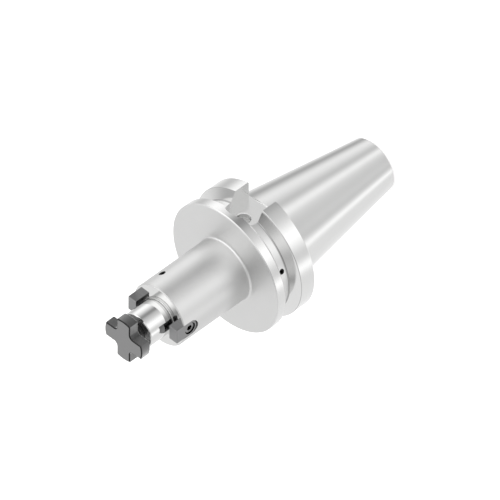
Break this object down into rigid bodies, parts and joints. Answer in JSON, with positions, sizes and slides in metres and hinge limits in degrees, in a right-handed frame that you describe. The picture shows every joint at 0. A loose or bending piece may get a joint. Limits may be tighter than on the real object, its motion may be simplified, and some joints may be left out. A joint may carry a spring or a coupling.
{
  "type": "shell mill arbor",
  "caption": "Steel shell mill arbor: a 7/24 taper with a V-grooved, slotted flange, a round body, drive keys on its bearing face, and a pilot with a cross-head clamp screw.",
  "frame": {"origin": "centre of the taper's gauge circle, diameter 69.85 mm, on the spindle axis", "axes": "+Z along the spindle axis towards the cutter, +X through one drive key, +Y through the drive slot that holds the data chip pocket"},
  "size_m": [0.1, 0.1, 0.2358],
  "materials": {
    "ground_steel": "ground and lapped bright steel",
    "black_steel": "black oxide on milled and turned steel"
  },
  "bodies": {
    "arbor": {"arbor_body": "ground_steel", "drive_key_a": "black_steel", "drive_key_b": "black_steel", "key_screws": "black_steel", "groove_plug_screw": "black_steel", "body_plug_screw": "black_steel"},
    "screw": {"clamp_screw": "black_steel"}
  },
  "joints": [
    {"name": "clamp_screw_travel", "type": "slide", "parent": "arbor", "child": "screw", "axis": [0, 0, 1], "range_m": [-0.00535, 0.06]}
  ]
}
